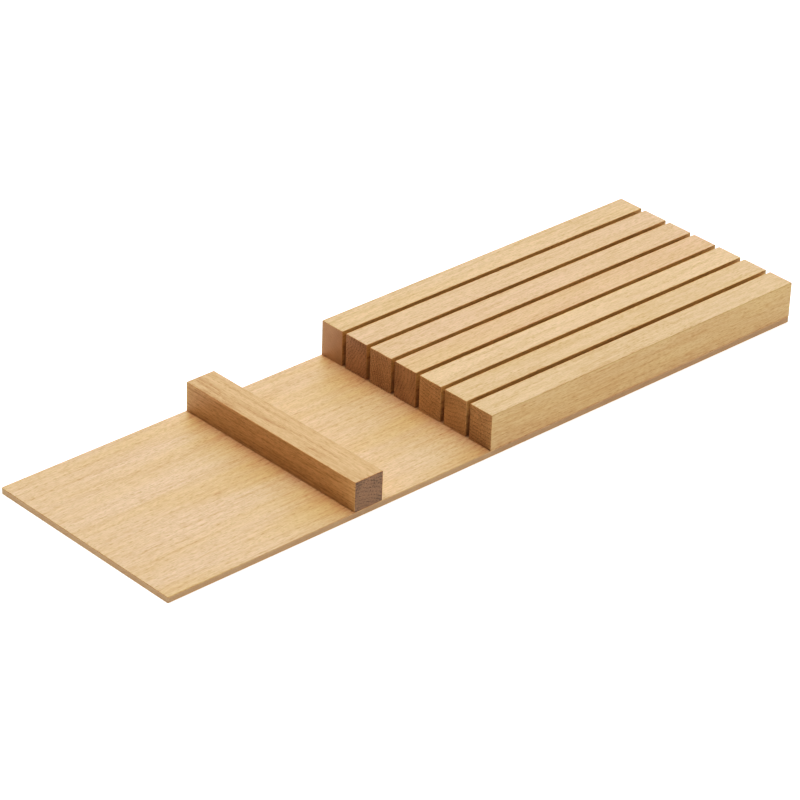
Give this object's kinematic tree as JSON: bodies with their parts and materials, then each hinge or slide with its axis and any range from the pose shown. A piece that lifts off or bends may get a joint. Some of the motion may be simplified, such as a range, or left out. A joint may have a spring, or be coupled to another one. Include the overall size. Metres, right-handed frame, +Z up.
{
  "type": "in-drawer knife block",
  "caption": "Flat oak knife block for a kitchen drawer: slats side by side on a thin veneered board, with narrow slots between them for the blades and a cross bar under the handles.",
  "frame": {"origin": "middle of the board's underside", "axes": "+X along the board towards the slat end, +Y across it towards slat_1, +Z up through the slats"},
  "size_m": [0.485, 0.144, 0.027],
  "materials": {
    "oak_slat": "oiled solid oak, planed and sanded, satin",
    "oak_rest": "oiled solid oak, planed and sanded, satin",
    "oak_veneer": "oiled oak veneer, satin",
    "fibreboard": "sawn edge of high density fibreboard, matt",
    "zinc_screw": "bright zinc plated steel"
  },
  "bodies": {
    "root": {"slat_1": "oak_slat", "slat_2": "oak_slat", "slat_3": "oak_slat", "slat_4": "oak_slat", "slat_5": "oak_slat", "slat_6": "oak_slat", "slat_7": "oak_slat", "handle_rest": "oak_rest", "bottom_veneer": "oak_veneer", "base_core": "fibreboard", "top_veneer": "oak_veneer", "slat_1_front_screw": "zinc_screw", "slat_1_rear_screw": "zinc_screw", "slat_2_front_screw": "zinc_screw", "slat_2_rear_screw": "zinc_screw", "slat_3_front_screw": "zinc_screw", "slat_3_rear_screw": "zinc_screw", "slat_4_front_screw": "zinc_screw", "slat_4_rear_screw": "zinc_screw", "slat_5_front_screw": "zinc_screw", "slat_5_rear_screw": "zinc_screw", "slat_6_front_screw": "zinc_screw", "slat_6_rear_screw": "zinc_screw", "slat_7_front_screw": "zinc_screw", "slat_7_rear_screw": "zinc_screw", "handle_rest_near_screw": "zinc_screw", "handle_rest_far_screw": "zinc_screw"}
  },
  "joints": []
}
